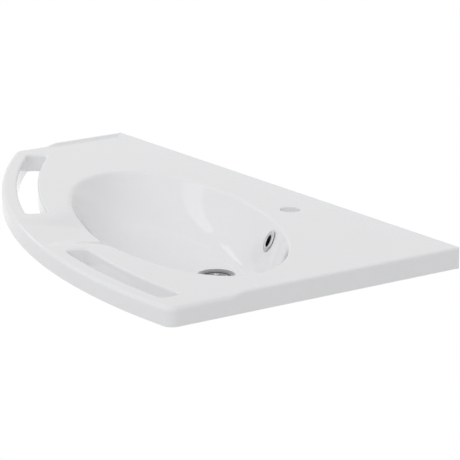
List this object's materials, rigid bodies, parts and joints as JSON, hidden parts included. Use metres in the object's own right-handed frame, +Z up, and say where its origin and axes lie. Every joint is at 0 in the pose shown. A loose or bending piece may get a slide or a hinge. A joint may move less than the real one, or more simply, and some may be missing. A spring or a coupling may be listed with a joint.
{
  "type": "corner washbasin",
  "caption": "White corner washbasin with an oval bowl, two hand slots in its bowed front edge, a tap hole, an overflow and a grid waste.",
  "frame": {"origin": "on the back wall face, at the height of the deck, in line with the tap hole", "axes": "+X along the back wall to the right, towards the end that stands in the room's corner; +Y into the back wall; +Z up"},
  "size_m": [1, 0.5723, 0.1583],
  "materials": {
    "basin": "white glossy gel coat over cast mineral",
    "chrome": "bright polished chrome",
    "rubber": "soft matt black sealing rubber",
    "white_plastic": "white moulded plastic, slightly glossy",
    "grey_plastic": "grey moulded plastic with a fine matt grain",
    "brass": "turned brass, unpolished"
  },
  "bodies": {
    "root": {"basin_body": "basin", "overflow_channel": "white_plastic", "overflow_ring": "chrome", "waste_strainer": "chrome", "waste_flange_seal": "rubber", "waste_screw": "chrome", "waste_body": "white_plastic", "waste_insert": "brass", "waste_body_seal": "rubber", "fixing_bushes": "grey_plastic"}
  },
  "joints": []
}
